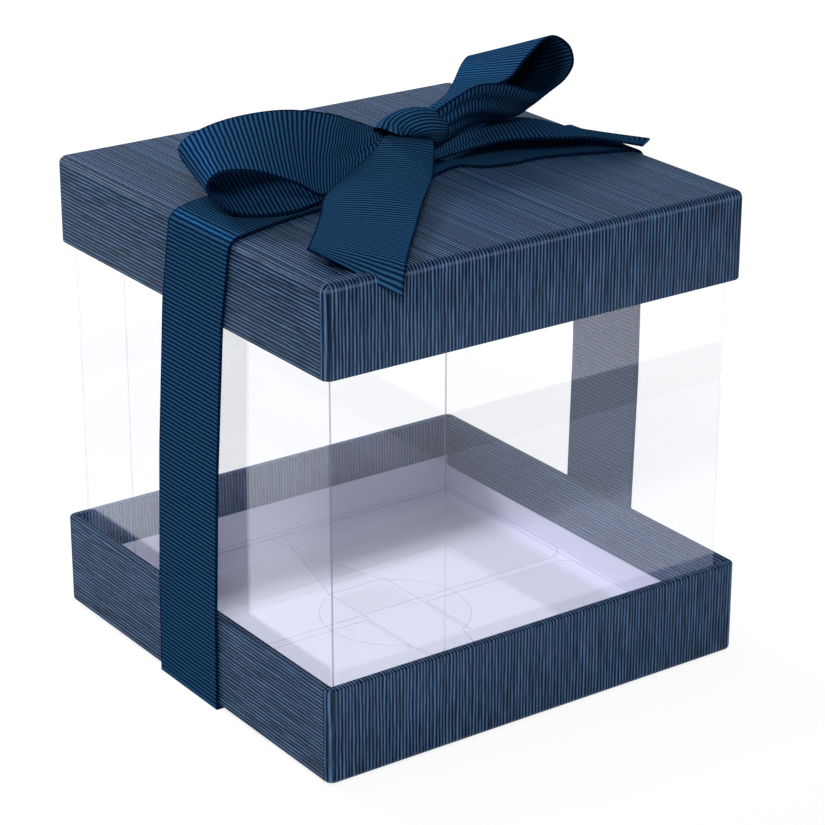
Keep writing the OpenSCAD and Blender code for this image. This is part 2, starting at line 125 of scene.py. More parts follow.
class Graph:
    """The node graph of one finish."""

    def __init__(self, name: str) -> None:
        """Starts an empty material of that name."""
        self.material = bpy.data.materials.new(name)
        self.start(self.material, "Material")

    def start(self, holder: bpy.types.ID, kind: str) -> None:
        """Empties the holder's node tree and adds its output.

        Args:
            holder: The material or the world.
            kind: Material or World.
        """
        holder.use_nodes = True
        self.tree = holder.node_tree
        self.tree.nodes.clear()
        self.output = self.tree.nodes.new("ShaderNodeOutput" + kind)

    def node(self, kind: str, **inputs: object) -> Node:
        """Adds a node and fills its inputs with values or sockets.

        Args:
            kind: The node's type without its ShaderNode prefix.
            inputs: Input names, with underscores for spaces, and their values or sockets.

        Returns:
            The new node.
        """
        made = self.tree.nodes.new("ShaderNode" + kind)
        for name, value in inputs.items():
            self.fill(made.inputs[name.replace("_", " ")], value)
        return made

    def fill(self, socket: Socket, value: object) -> None:
        """Links a socket to the input, or sets the input's own value.

        Args:
            socket: The input.
            value: A socket or a plain value.
        """
        if isinstance(value, Socket):
            self.tree.links.new(value, socket)
        else:
            socket.default_value = value

    def math(self, operation: str, *values: object) -> Socket:
        """Adds a math node.

        Args:
            operation: The node's operation.
            values: Its inputs in order.

        Returns:
            The result's socket.
        """
        made = self.tree.nodes.new("ShaderNodeMath")
        made.operation = operation
        for socket, value in zip(made.inputs, values):
            self.fill(socket, value)
        return made.outputs[0]

    def blend(self, share: object, first: object, second: object) -> Socket:
        """Mixes two colours.

        Args:
            share: The second colour's share.
            first: The colour at a share of 0.
            second: The colour at a share of 1.

        Returns:
            The mixed colour's socket.
        """
        made = self.tree.nodes.new("ShaderNodeMix")
        made.data_type = "RGBA"
        self.fill(made.inputs[0], share)
        self.fill(made.inputs[MIX_FIRST], first)
        self.fill(made.inputs[MIX_SECOND], second)
        return made.outputs[MIX_RESULT]

    def mix(self, share: object, first: Node, second: Node) -> Node:
        """Mixes two shaders.

        Args:
            share: The second shader's share.
            first: The shader at a share of 0.
            second: The shader at a share of 1.

        Returns:
            The mix.
        """
        made = self.node("MixShader", Fac=share)
        self.fill(made.inputs[1], first.outputs[0])
        self.fill(made.inputs[2], second.outputs[0])
        return made

    def sheet_axes(self) -> tuple[Socket, Socket]:
        """Reads the piece's own flat sheet, in metres.

        Returns:
            The places along its first and second axes.
        """
        read = self.tree.nodes.new("ShaderNodeUVMap")
        read.uv_map = SHEET_MAP
        parts = self.node("SeparateXYZ", Vector=read.outputs[0])
        return parts.outputs[0], parts.outputs[1]

    def mark(self, name: str) -> Socket:
        """Reads a number that the piece's own points carry.

        Args:
            name: The number's name.

        Returns:
            The number's socket.
        """
        read = self.tree.nodes.new("ShaderNodeAttribute")
        read.attribute_name = name
        return read.outputs["Fac"]

    def grain(self, first: object, second: object, size: Pair, detail: float = 1.0) -> Socket:
        """Adds noise on a flat sheet, with its own grain size along each axis.

        Args:
            first: The place along the sheet's first axis.
            second: The place along its second axis.
            size: The grain's size along each axis.
            detail: The noise's detail.

        Returns:
            The noise's socket, from 0 to 1.
        """
        place = self.node(
            "CombineXYZ",
            X=self.math("DIVIDE", first, size[0]),
            Y=self.math("DIVIDE", second, size[1]),
        )
        return self.node("TexNoise", Vector=place.outputs[0], Scale=1.0, Detail=detail).outputs[0]

    def wave(self, place: object, pitch: float) -> Socket:
        """Adds a rounded wave from 0 to 1 with that pitch, across a place in metres."""
        angle = self.math("MULTIPLY", place, 2 * math.pi / pitch)
        return self.math("MULTIPLY_ADD", self.math("SINE", angle), 0.5, 0.5)

    def relief(self, height: object, depth: float, strength: float) -> Socket:
        """Adds a bump, whose height goes from 0 to 1, and gives the bumped normal."""
        return self.node("Bump", Height=height, Distance=depth, Strength=strength).outputs[0]

    def finish(self, shader: Node) -> Material:
        """Puts the shader on the surface and gives the finished material."""
        self.fill(self.output.inputs["Surface"], shader.outputs[0])
        return self.material


class WorldGraph(Graph):
    """The node graph of what surrounds the scene."""

    def __init__(self, name: str) -> None:
        """Starts an empty world.

        Args:
            name: The world's name.
        """
        world = bpy.data.worlds.new(name)
        bpy.context.scene.world = world
        self.start(world, "World")


@dataclass(frozen=True)
class RibbedPaper:
    """Wrap paper with fine ribs that swell, merge and fade, and with folds painted pale (wear and
    painted highlight) and dark (painted shade).
    """

    name: str = "ribbed_wrap_paper"
    # Groove colour: the paper's own dark plus painted shade in the grooves
    shaded_groove: Colour = srgb(0, 4, 26)
    ridge: Colour = srgb(76, 118, 154)
    ridge_violet: Colour = srgb(88, 108, 156)
    violet_most: float = 0.7
    # Pale colour on folds: partly wear, partly painted highlight
    pale_wear_and_highlight: Colour = srgb(108, 128, 158)
    wear_and_highlight_line: Pair = (0.5, 0.1)
    # Painted shade on the roundings of folds
    stretched: Colour = srgb(8, 18, 40)
    fold_shade_most: float = 0.4
    gloss_tint: Colour = (0.62, 0.78, 1.0, 1.0)
    gloss: float = 0.05
    roughness: float = 0.5
    pitch: float = 0.79 * MM
    wander: float = 0.6 * MM
    wander_grain: Pair = (2.2 * MM, 16 * MM)
    swell_grain: Pair = (0.7 * MM, 14 * MM)
    swell_line: Pair = (1.1, 0.32)
    fibre_grain: Pair = (0.3 * MM, 5 * MM)
    fibre_depth: float = 0.9
    hue_grain: Pair = (7 * MM, 22 * MM)
    contrast: float = 1.8
    relief: Pair = (0.1 * MM, 0.55)

    def material(self) -> Material:
        """Builds the paper's material."""
        g = Graph(self.name)
        across, along = g.sheet_axes()
        drift = g.grain(across, along, self.wander_grain)
        moved = g.math("MULTIPLY_ADD", drift, self.wander, across)
        ribs = g.wave(moved, self.pitch)
        swell = g.grain(across, along, self.swell_grain)
        fibre = g.grain(across, along, self.fibre_grain, FINE_DETAIL)
        height = g.math("MULTIPLY", ribs, g.math("MULTIPLY_ADD", swell, *self.swell_line))
        height = g.math("MULTIPLY_ADD", g.math("SUBTRACT", fibre, 0.5), self.fibre_depth, height)
        share = g.math("POWER", g.math("MAXIMUM", height, 0.0), self.contrast)
        hue = g.grain(across, along, self.hue_grain)
        light = g.blend(g.math("MULTIPLY", hue, self.violet_most), self.ridge, self.ridge_violet)
        tone = g.blend(share, self.shaded_groove, light)
        # Painted shade on the folds' roundings, then pale wear with a painted highlight
        painted_fold_shade = self.fold_share(g, -1.0)
        tone = g.blend(g.math("MULTIPLY", painted_fold_shade, self.fold_shade_most), tone, self.stretched)
        patchy_pale = g.math("MULTIPLY_ADD", fibre, *self.wear_and_highlight_line)
        wear_and_highlight = g.math("MULTIPLY", self.fold_share(g, 1.0), patchy_pale)
        skin = g.node(
            "BsdfPrincipled",
            Base_Color=g.blend(wear_and_highlight, tone, self.pale_wear_and_highlight),
            Roughness=self.roughness,
            Specular_IOR_Level=self.gloss,
            Specular_Tint=self.gloss_tint,
            Normal=g.relief(height, *self.relief),
        )
        return g.finish(skin)

    def fold_share(self, g: Graph, sign: float) -> Socket:
        """Reads a fold's pale wear and painted highlight (sign 1) or its painted shade (sign -1),
        from 0 to 1.
        """
        return g.math("MAXIMUM", g.math("MULTIPLY", g.mark(FOLD_WEAR_AND_SHADING_MARK), sign), 0.0)


@dataclass(frozen=True)
class Grosgrain:
    """Ribbon with round cross ribs, fine threads along its length and a painted shadow line along
    both edges.
    """

    name: str = "grosgrain_ribbon"
    # Groove colour: the ribbon's own dark plus painted shade in the grooves
    shaded_groove: Colour = srgb(3, 14, 42)
    ridge: Colour = srgb(40, 82, 116)
    # Painted shade: the colour that the inner face of loops and of the band under the back tail
    # darkens to
    painted_shade: Colour = srgb(0, 2, 12)
    gloss_tint: Colour = (0.06, 0.25, 0.45, 1.0)
    satin: float = 0.12
    roughness: float = 0.42
    pitch: float = 0.92 * MM
    wobble: float = 0.3 * MM
    wobble_grain: Pair = (4 * MM, 3 * MM)
    thread: float = 0.3 * MM
    thread_depth: float = 0.08
    yarn_grain: Pair = (0.9 * MM, 0.45 * MM)
    yarn_line: Pair = (0.6, 0.65)
    edge_shadow: Colour = srgb(2, 8, 34)
    edge_shadow_w: float = 0.35 * MM
    edge_shadow_most: float = 0.8
    relief: Pair = (0.08 * MM, 0.65)

    def material(self) -> Material:
        """Builds the ribbon's material."""
        g = Graph(self.name)
        across, along = g.sheet_axes()
        wobble = g.grain(across, along, self.wobble_grain)
        ribs = g.wave(g.math("MULTIPLY_ADD", wobble, self.wobble, along), self.pitch)
        threads = g.wave(across, self.thread)
        yarn = g.grain(across, along, self.yarn_grain, FINE_DETAIL)
        height = g.math("MULTIPLY_ADD", threads, self.thread_depth, ribs)
        lift = g.math("MULTIPLY", ribs, g.math("MULTIPLY_ADD", yarn, *self.yarn_line))
        tone = g.blend(lift, self.shaded_groove, self.ridge)
        # A dark line painted along both edges: painted shadow at the ribbon's edge
        off_middle = g.math("ABSOLUTE", g.math("SUBTRACT", across, RIBBON_WIDTH / 2))
        at_edge = g.math("GREATER_THAN", off_middle, RIBBON_WIDTH / 2 - self.edge_shadow_w)
        tone = g.blend(g.math("MULTIPLY", at_edge, self.edge_shadow_most), tone, self.edge_shadow)
        skin = g.node(
            "BsdfPrincipled",
            # Painted shade: the colour darkens where the piece's shade mark is set
            Base_Color=g.blend(g.mark(SHADE_MARK), tone, self.painted_shade),
            Roughness=self.roughness,
            Metallic=self.satin,
            Specular_IOR_Level=0.0,
            Specular_Tint=self.gloss_tint,
            Normal=g.relief(height, *self.relief),
        )
        return g.finish(skin)


@dataclass(frozen=True)
class PlainSheet:
    """Plain paper or board with a faint fibre grain."""

    name: str
    tone: Colour
    shade: Colour
    grain_size: float = 0.6 * MM
    grain_detail: float = 3.0
    relief: Pair = (0.03 * MM, 0.3)
    roughness: float = 0.7
    gloss: float = 0.3

    def material(self) -> Material:
        """Builds the sheet's material."""
        g = Graph(self.name)
        place = g.node("TexCoord").outputs["Object"]
        noise = g.node("TexNoise", Vector=place, Scale=1 / self.grain_size, Detail=self.grain_detail)
        fibres = noise.outputs[0]
        skin = g.node(
            "BsdfPrincipled",
            Base_Color=g.blend(fibres, self.shade, self.tone),
            Roughness=self.roughness,
            Specular_IOR_Level=self.gloss,
            Normal=g.relief(fibres, *self.relief),
        )
        return g.finish(skin)


@dataclass(frozen=True)
class ClearFilm:
    """Clear film: see-through faces with a gloss."""

    name: str
    tint: Colour = WHITE
    gloss_tone: Colour = (0.84, 0.88, 1.0, 1.0)
    gloss_straight: float = 0.05
    gloss_power: float = 4.0
    gloss_roughness: float = 0.03

    def faces(self, g: Graph) -> Node:
        """Builds the shader of the film's faces.

        Args:
            g: The film's graph.

        Returns:
            The shader's last node.
        """
        clear = g.node("BsdfTransparent", Color=self.tint)
        gloss = g.node("BsdfGlossy", Color=self.gloss_tone, Roughness=self.gloss_roughness)
        lean = g.node("LayerWeight", Blend=0.5).outputs["Facing"]
        glance = g.math("POWER", lean, self.gloss_power)
        share = g.math("MULTIPLY_ADD", glance, 1 - self.gloss_straight, self.gloss_straight)
        return g.mix(share, clear, gloss)

    def material(self) -> Material:
        """Builds the film's material."""
        g = Graph(self.name)
        return g.finish(self.faces(g))


@dataclass(frozen=True)
class FilmEdge:
    """The film's cut edges and creases, which look frosted."""

    name: str
    tone: Colour
    cover: float

    def material(self) -> Material:
        """Builds the edge's material."""
        g = Graph(self.name)
        clear = g.node("BsdfTransparent", Color=WHITE)
        frost = g.node("BsdfPrincipled", Base_Color=self.tone, Roughness=FROST_ROUGHNESS)
        return g.finish(g.mix(self.cover, clear, frost))


@dataclass(frozen=True)
class CreasedFilm(ClearFilm):
    """Film whose upright creases and cut edges are told from its walls by place and slope."""

    wall_at: float = 48 * MM
    crease_tone: Colour = srgb(120, 118, 158)
    crease_cover: float = 0.45
    wall_squareness: float = 0.86
    seam_squareness: float = 0.9

    def material(self) -> Material:
        """Builds the walls' material."""
        g = Graph(self.name)
        crease = g.node("BsdfPrincipled", Base_Color=self.crease_tone, Roughness=FROST_ROUGHNESS)
        clear = g.node("BsdfTransparent", Color=self.tint)
        frosted = g.mix(self.crease_cover, clear, crease)
        return g.finish(g.mix(self.edge_share(g), self.faces(g), frosted))

    def edge_share(self, g: Graph) -> Socket:
        """Tells creases and cut edges from the walls.

        Args:
            g: The film's graph.

        Returns:
            A socket that is 1 on an edge or crease and 0 on a wall.
        """
        slope = g.node("SeparateXYZ", Vector=g.node("NewGeometry").outputs["True Normal"])
        along_x = g.math("ABSOLUTE", slope.outputs[0])
        squareness = g.math("MAXIMUM", along_x, g.math("ABSOLUTE", slope.outputs[1]))
        rounded = g.math("LESS_THAN", squareness, self.wall_squareness)
        place = g.node("SeparateXYZ", Vector=g.node("TexCoord").outputs["Object"])
        off_wall = g.math("LESS_THAN", g.math("ABSOLUTE", place.outputs[0]), self.wall_at)
        faces_side = g.math("GREATER_THAN", along_x, self.seam_squareness)
        return g.math("MAXIMUM", rounded, g.math("MULTIPLY", off_wall, faces_side))


def deselect_all() -> None:
    """Leaves nothing selected."""
    if bpy.context.mode != "OBJECT":
        bpy.ops.object.mode_set(mode="OBJECT")
    bpy.ops.object.select_all(action="DESELECT")


def activate(piece: Piece) -> None:
    """Selects one piece alone and makes it active."""
    deselect_all()
    piece.select_set(True)
    bpy.context.view_layer.objects.active = piece


def pick(piece: Piece, kind: str, wanted: Callable[[object], bool]) -> None:
    """Selects the faces or edges that a rule wants, and leaves the piece in edit mode.

    Args:
        piece: The piece.
        kind: FACE or EDGE.
        wanted: The rule, which is given a face, or an edge's two corners.
    """
    bpy.ops.object.mode_set(mode="OBJECT")
    mesh = piece.data
    for part in (mesh.vertices, mesh.edges, mesh.polygons):
        part.foreach_set("select", [False] * len(part))
    bpy.ops.object.mode_set(mode="EDIT")
    bpy.ops.mesh.select_mode(type=kind)
    bpy.ops.mesh.select_all(action="DESELECT")
    bpy.ops.object.mode_set(mode="OBJECT")
    if kind == "FACE":
        for face in mesh.polygons:
            face.select = wanted(face)
    else:
        for edge in mesh.edges:
            edge.select = wanted([mesh.vertices[i].co for i in edge.vertices])
    bpy.ops.object.mode_set(mode="EDIT")


def use_modifier(piece: Piece, kind: str, **settings: object) -> None:
    """Adds a modifier and applies it.

    Args:
        piece: The piece.
        kind: The modifier's type.
        settings: The modifier's settings.
    """
    activate(piece)
    modifier = piece.modifiers.new(kind.lower(), kind)
    for name, value in settings.items():
        setattr(modifier, name, value)
    bpy.ops.object.modifier_apply(modifier=modifier.name)


def dress(piece: Piece, material: Material) -> None:
    """Gives a piece one material all over."""
    piece.data.materials.clear()
    piece.data.materials.append(material)


@dataclass
class HalfBox:
    """The tray or the lid: board covered with ribbed paper that is turned in over the rim."""

    label: str
    body: str
    lid_way_up: bool
    turn_in_x: float
    turn_in_y: float
    corner_r: float
    edge_r: float
    rim_r: float = 0.5 * MM
    rim_steps: int = 3
    inner_corner_r: float = 0.25 * MM
    paper_t: float = 0.2 * MM
    seam_from_corner: float = 2.1 * MM
    seam_w: float = 0.5 * MM
    rounding_steps: int = 5
    tiny: float = 0.02 * MM
    leaning: float = 0.3
    corner_leaning: float = 0.25
    smooth_deg: float = 32.0
    low: Vector = field(init=False)
    high: Vector = field(init=False)
    half: float = field(init=False)
    height: float = field(init=False)
    inner: float = field(init=False)
    mid_wall: float = field(init=False)
    seam_at: float = field(init=False)

    def read_frame(self) -> None:
        """Takes the half box's outer size and its wall, papers included, from the frame."""
        self.low, self.high = (Vector(c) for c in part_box(f"{self.label}_wrap"))
        self.half = (self.high.x - self.low.x) / 2
        self.height = self.high.z - self.low.z
        lining_low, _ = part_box(f"{self.label}_lining")
        wall = lining_low[0] - self.low.x + self.paper_t
        self.inner = self.half - wall
        self.mid_wall = self.half - wall / 2
        self.seam_at = self.half - self.seam_from_corner

    def at_level(self, level: float) -> Callable[[Sequence[Vector]], bool]:
        """Gives the rule that wants the edges lying at a level."""
        return lambda e: all(abs(v.z - level) < self.tiny for v in e)

    def model_wrap(self) -> Piece:
        """Models the wrap, closed side down, then turns it over for the lid.

        Returns:
            The wrap with its sheet map.
        """
        height = self.height
        wrap = self.walls("wrap_outside", 2 * self.half, height, self.corner_r)
        pick(wrap, "FACE", lambda f: f.normal.z > LEVEL)
        bpy.ops.mesh.delete(type="FACE")
        pick(wrap, "EDGE", self.at_level(0.0))
        bpy.ops.mesh.bevel(offset=self.edge_r, segments=self.rounding_steps)
        bpy.ops.object.mode_set(mode="OBJECT")
        inside = self.walls("wrap_inside", 2 * self.inner, self.turn_in_y, self.inner_corner_r)
        pick(inside, "FACE", lambda f: abs(f.normal.z) > LEVEL)
        bpy.ops.mesh.delete(type="FACE")
        at_foot = self.at_level(height - self.turn_in_y)
        pick(inside, "EDGE", lambda e: at_foot(e) and abs(e[0].x - e[1].x) < self.tiny)
        bpy.ops.mesh.extrude_edges_move(
            TRANSFORM_OT_translate={"value": (0, 0, self.turn_in_y - self.turn_in_x)}
        )
        bpy.ops.mesh.select_all(action="SELECT")
        bpy.ops.mesh.flip_normals()
        bpy.ops.object.mode_set(mode="OBJECT")
        activate(wrap)
        inside.select_set(True)
        bpy.ops.object.join()
        wrap.name = wrap.data.name = f"{self.label}_wrap_paper"
        at_rim = self.at_level(height)
        pick(wrap, "EDGE", at_rim)
        bpy.ops.mesh.bridge_edge_loops()
        pick(wrap, "EDGE", lambda e: at_rim(e) and self.on_outer_rim(e[0]) == self.on_outer_rim(e[1]))
        bpy.ops.mesh.bevel(offset=self.rim_r, segments=self.rim_steps)
        self.cut_seams(wrap)
        self.mark_seams(wrap)
        self.mark_folds(wrap)
        self.map_sheet(wrap)
        use_modifier(wrap, "SOLIDIFY", thickness=self.paper_t, offset=-1.0)
        activate(wrap)
        if self.lid_way_up:
            wrap.rotation_euler = (math.pi, 0, 0)
            wrap.location = (0, 0, self.high.z)
        else:
            wrap.location = (0, 0, self.low.z)
        bpy.ops.object.transform_apply(location=True, rotation=True, scale=True)
        bpy.ops.object.shade_smooth_by_angle(angle=math.radians(self.smooth_deg))
        return wrap

    def walls(self, name: str, width: float, height: float, corner_r: float) -> Piece:
        """Adds a square block with rounded upright corners, with its top at the rim's level.

        Args:
            name: The block's name.
            width: Its width and depth.
            height: Its height.
            corner_r: The radius of its upright corners.

        Returns:
            The block, in object mode.
        """
        deselect_all()
        bpy.ops.mesh.primitive_cube_add(
            size=1, location=(0, 0, self.height - height / 2), scale=(width, width, height)
        )
        block = bpy.context.object
        block.name = name
        bpy.ops.object.transform_apply(location=True, rotation=True, scale=True)
        pick(block, "EDGE", lambda e: abs(e[0].z - e[1].z) > height / 2)
        bpy.ops.mesh.bevel(offset=corner_r, segments=self.rounding_steps)
        bpy.ops.object.mode_set(mode="OBJECT")
        return block

    def on_outer_rim(self, point: Vector) -> bool:
        """Tells whether a corner of the rim lies on its outer line."""
        return max(abs(point.x), abs(point.y)) > self.inner + self.rim_r / 2

    def cut_seams(self, wrap: Piece) -> None:
        """Cuts the seams near the corners of the left and right walls, and the mitres on the rim.

        Args:
            wrap: The wrap.
        """
        for end in (-1, 1):
            for shift in (-self.seam_w / 2, self.seam_w / 2):
                pick(wrap, "FACE", lambda f: abs(f.normal.x) > self.leaning
                     and abs(f.center.x) > self.mid_wall and f.center.y * end > 0)
                bpy.ops.mesh.bisect(plane_co=(0, end * self.seam_at + shift, 0), plane_no=(0, 1, 0))
            for side in (-1, 1):
                outer_end = Vector((side * self.half, end * self.seam_at, self.height))
                inner_end = Vector((side * self.inner, end * self.inner, self.height))
                way = (inner_end - outer_end).normalized()
                square = Vector((-way.y, way.x, 0))
                for shift in (-self.seam_w / 2, self.seam_w / 2):
                    pick(wrap, "FACE", lambda f: f.normal.z > self.leaning
                         and f.center.z > self.height / 2
                         and f.center.x * side > 0 and f.center.y * end > 0)
                    bpy.ops.mesh.bisect(plane_co=outer_end + square * shift, plane_no=square)
        bpy.ops.object.mode_set(mode="OBJECT")

    def mark_seams(self, wrap: Piece) -> None:
        """Gives the narrow faces in the seams and on the rim's mitres the painted shadow of the gap.

        Args:
            wrap: The wrap.
        """
        mitre_back = self.inner - self.half + self.seam_from_corner
        for face in wrap.data.polygons:
            x, y = abs(face.center.x), abs(face.center.y)
            on_wall = abs(face.normal.x) > self.leaning and x > self.mid_wall
            if on_wall and abs(y - self.seam_at) < self.seam_w / 2:
                face.material_index = 1
            if face.normal.z > self.leaning and face.center.z > self.height / 2:
                share = (self.half - x) / (self.half - self.inner)
                off_mitre = abs(y - (self.seam_at + share * mitre_back))
                if 0 <= share <= 1 and off_mitre < self.seam_w / 2:
                    face.material_index = 1

    def mark_folds(self, wrap: Piece) -> None:
        """Marks the roundings where the paper is folded, by their slope: pale wear and painted
        highlight above 0, painted shade below 0.

        Args:
            wrap: The wrap.
        """
        mesh = wrap.data
        mark = mesh.attributes.new(FOLD_WEAR_AND_SHADING_MARK, "FLOAT", "POINT")
        # Each point's slope sets its pale wear with painted highlight, or its painted shade
        for vertex in mesh.vertices:
            upright = math.hypot(vertex.normal.x, vertex.normal.y)
            slope = math.degrees(math.atan2(abs(vertex.normal.z), upright))
            pale_wear_and_highlight = max(0.0, 1 - abs(slope - PALE_FOLD_SLOPE) / PALE_FOLD_SPREAD)
            stretched = max(0.0, 1 - abs(slope - SHADED_FOLD_SLOPE) / SHADED_FOLD_SPREAD)
            mark.data[vertex.index].value = pale_wear_and_highlight if pale_wear_and_highlight > 0 else -stretched

    def map_sheet(self, wrap: Piece) -> None:
        """Lays the paper's ribs: along Y over the closed side and the left and right walls.

        Args:
            wrap: The wrap.
        """
        mesh = wrap.data
        layer = mesh.uv_layers.active
        layer.name = SHEET_MAP
        for face in mesh.polygons:
            along_x = abs(face.normal.x)
            by_corner = abs(face.center.y) > self.seam_at
            wraps_corner = along_x > self.corner_leaning and by_corner
            is_wall = abs(face.normal.z) < LEVEL
            for loop in face.loop_indices:
                point = mesh.vertices[mesh.loops[loop].vertex_index].co
                x, y = abs(point.x), abs(point.y)
                if wraps_corner and is_wall:
                    place = (math.copysign(self.half + (self.half - y), point.x), self.half + point.z)
                elif along_x > abs(face.normal.y) and is_wall:
                    place = (math.copysign(self.walk(point.z, x), point.x), point.y)
                else:
                    place = (point.x, self.walk(point.z, y))
                layer.data[loop].uv = place

    def walk(self, level: float, out: float) -> float:
        """Follows the paper from the middle of the closed side over the wall and the rim.

        Args:
            level: The point's height.
            out: Its distance from the middle plane.

        Returns:
            The length of paper from the middle.
        """
        if out < self.mid_wall:
            return self.half + self.height + (self.half - out) + (self.height - level)
        if level > self.height / 2:
            return self.half + level + (self.half - out)
        return out + level

    def build(self, paper: Material, seam: Material, hidden: dict[str, Material]) -> None:
        """Builds and dresses the half box.

        Args:
            paper: The wrap paper.
            seam: The shaded gap where two edges of the paper meet.
            hidden: The materials of the CAD nodes by the end of their names.
        """
        self.read_frame()
        wrap = self.model_wrap()
        marks = [face.material_index for face in wrap.data.polygons]
        dress(wrap, paper)
        wrap.data.materials.append(seam)
        wrap.data.polygons.foreach_set("material_index", marks)
        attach(wrap, self.body)
        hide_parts(f"{self.label}_wrap")
        for ending, material in hidden.items():
            dress(bpy.data.objects[f"{self.label}_{ending}"], material)
        LOG.info("%s: wrap of %d faces", self.label, len(wrap.data.polygons))


@dataclass
class ClearSleeve:
    """The clear sleeve and its four locked bottom flaps."""

    flaps: tuple[str, ...] = ("flap_left", "flap_right", "flap_front", "flap_back")
    edge_w: float = 0.28 * MM
    wall_zone: float = 2 * MM
    weld: float = 0.01 * MM
    flat_deg: float = 1.0

    def build(self) -> None:
        """Dresses the sleeve's walls and models its flaps."""
        wall_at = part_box("sleeve_walls")[1][0] - self.wall_zone
        walls = CreasedFilm("clear_film_walls", wall_at=wall_at)
        dress(bpy.data.objects["sleeve_walls"], walls.material())
        self.let_light_through(bpy.data.objects["sleeve_walls"])
        film = ClearFilm("clear_film_flaps", gloss_power=5.0).material()
        edge = FilmEdge("clear_film_cut_edge", tone=srgb(120, 122, 168), cover=0.38).material()
        for name in self.flaps:
            self.flap(name, film, edge)

    def let_light_through(self, piece: Piece) -> None:
        """Leaves clear film out of shadows, so that stacked layers don't darken the floor below."""
        piece.visible_shadow = piece.visible_diffuse = False

    def flap(self, name: str, film: Material, edge: Material) -> None:
        """Models one flap as a sheet of film with frosted cut edges.

        Args:
            name: The flap's node.
            film: The film.
            edge: Its cut edges.
        """
        piece = bpy.data.objects.new(f"{name}_film", bpy.data.objects[name].data.copy())
        bpy.context.scene.collection.objects.link(piece)
        activate(piece)
        dress(piece, film)
        piece.data.materials.append(edge)
        bpy.ops.object.mode_set(mode="EDIT")
        bpy.ops.mesh.select_all(action="SELECT")
        bpy.ops.mesh.remove_doubles(threshold=self.weld)
        pick(piece, "FACE", lambda f: f.normal.z < LEVEL)
        bpy.ops.mesh.delete(type="FACE")
        bpy.ops.mesh.select_all(action="SELECT")
        bpy.ops.mesh.dissolve_limited(angle_limit=math.radians(self.flat_deg))
        bpy.ops.mesh.select_all(action="SELECT")
        bpy.ops.mesh.inset(thickness=self.edge_w, use_select_inset=True)
        bpy.ops.object.mode_set(mode="OBJECT")
        for face in piece.data.polygons:
            face.material_index = int(face.select)
        self.let_light_through(piece)
        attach(piece, "sleeve")
        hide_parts(name)
        LOG.info("%s: %d faces", piece.name, len(piece.data.polygons))


@dataclass(frozen=True)
class Station:
    """One line across a ribbon, from its near edge to its far edge, in millimetres.

    The line can bulge off the ribbon, ripple in pleats, bow along the ribbon, and have
    its near edge folded under. The ribbon's inner face can carry painted shade beyond a lit share.
    """

    near: Point
    far: Point
    bulge: float = 0.0
    pleat: float = 0.0
    bow: float = 0.0
    fold: float = 0.0
    shade: float = 0.0
    lit: float = 0.0

    def point(self, t: float, forward: Vector, up: Vector, waves: float) -> Vector:
        """Gives one point of the line.

        Args:
            t: The share of the ribbon's width from its near edge.
            forward: The ribbon's way.
            up: Its face.
            waves: The pleats across its width.

        Returns:
            The point, in millimetres.
        """
        near, way = Vector(self.near), Vector(self.far) - Vector(self.near)
        under = self.fold / (self.fold + way.length)
        if t < under:
            back = (under - t) / under
            drop = up * FOLD_GAP_MM * min(1.0, FOLD_RISE * back)
            return near + way.normalized() * self.fold * back + drop
        s = (t - under) / (1 - under)
        rise = self.bulge * 4 * s * (1 - s)
        rise += self.pleat * math.sin(2 * math.pi * waves * s) * math.sin(math.pi * s)
        return near + way * s + up * rise + forward * self.bow * BOW_GAIN * math.sqrt(s) * (1 - s)


def smooth(a: float, b: float, c: float, d: float, t: float) -> float:
    """Gives the Catmull-Rom value between b and c."""
    return 0.5 * (2 * b + (c - a) * t + (2 * a - 5 * b + 4 * c - d) * t * t
                  + (3 * b - a - 3 * c + d) * t ** 3)


def densify(stations: Sequence[Station], steps: int) -> list[Station]:
    """Adds smooth stations between the given ones.

    Args:
        stations: The given stations.
        steps: The steps from one to the next.

    Returns:
        The dense stations.
    """
    dense = []
    last = len(stations) - 1
    for i in range(last):
        four = [stations[k] for k in (max(i - 1, 0), i, i + 1, min(i + 2, last))]
        for step in range(steps + (i == last - 1)):
            t = step / steps
            near, far = (
                tuple(smooth(*[getattr(s, edge)[axis] for s in four], t) for axis in range(3))
                for edge in ("near", "far")
            )
            shape = {
                name: smooth(*[getattr(s, name) for s in four], t)
                for name in ("bulge", "pleat", "bow", "fold", "shade", "lit")
            }
            dense.append(Station(near, far, **shape))
    return dense


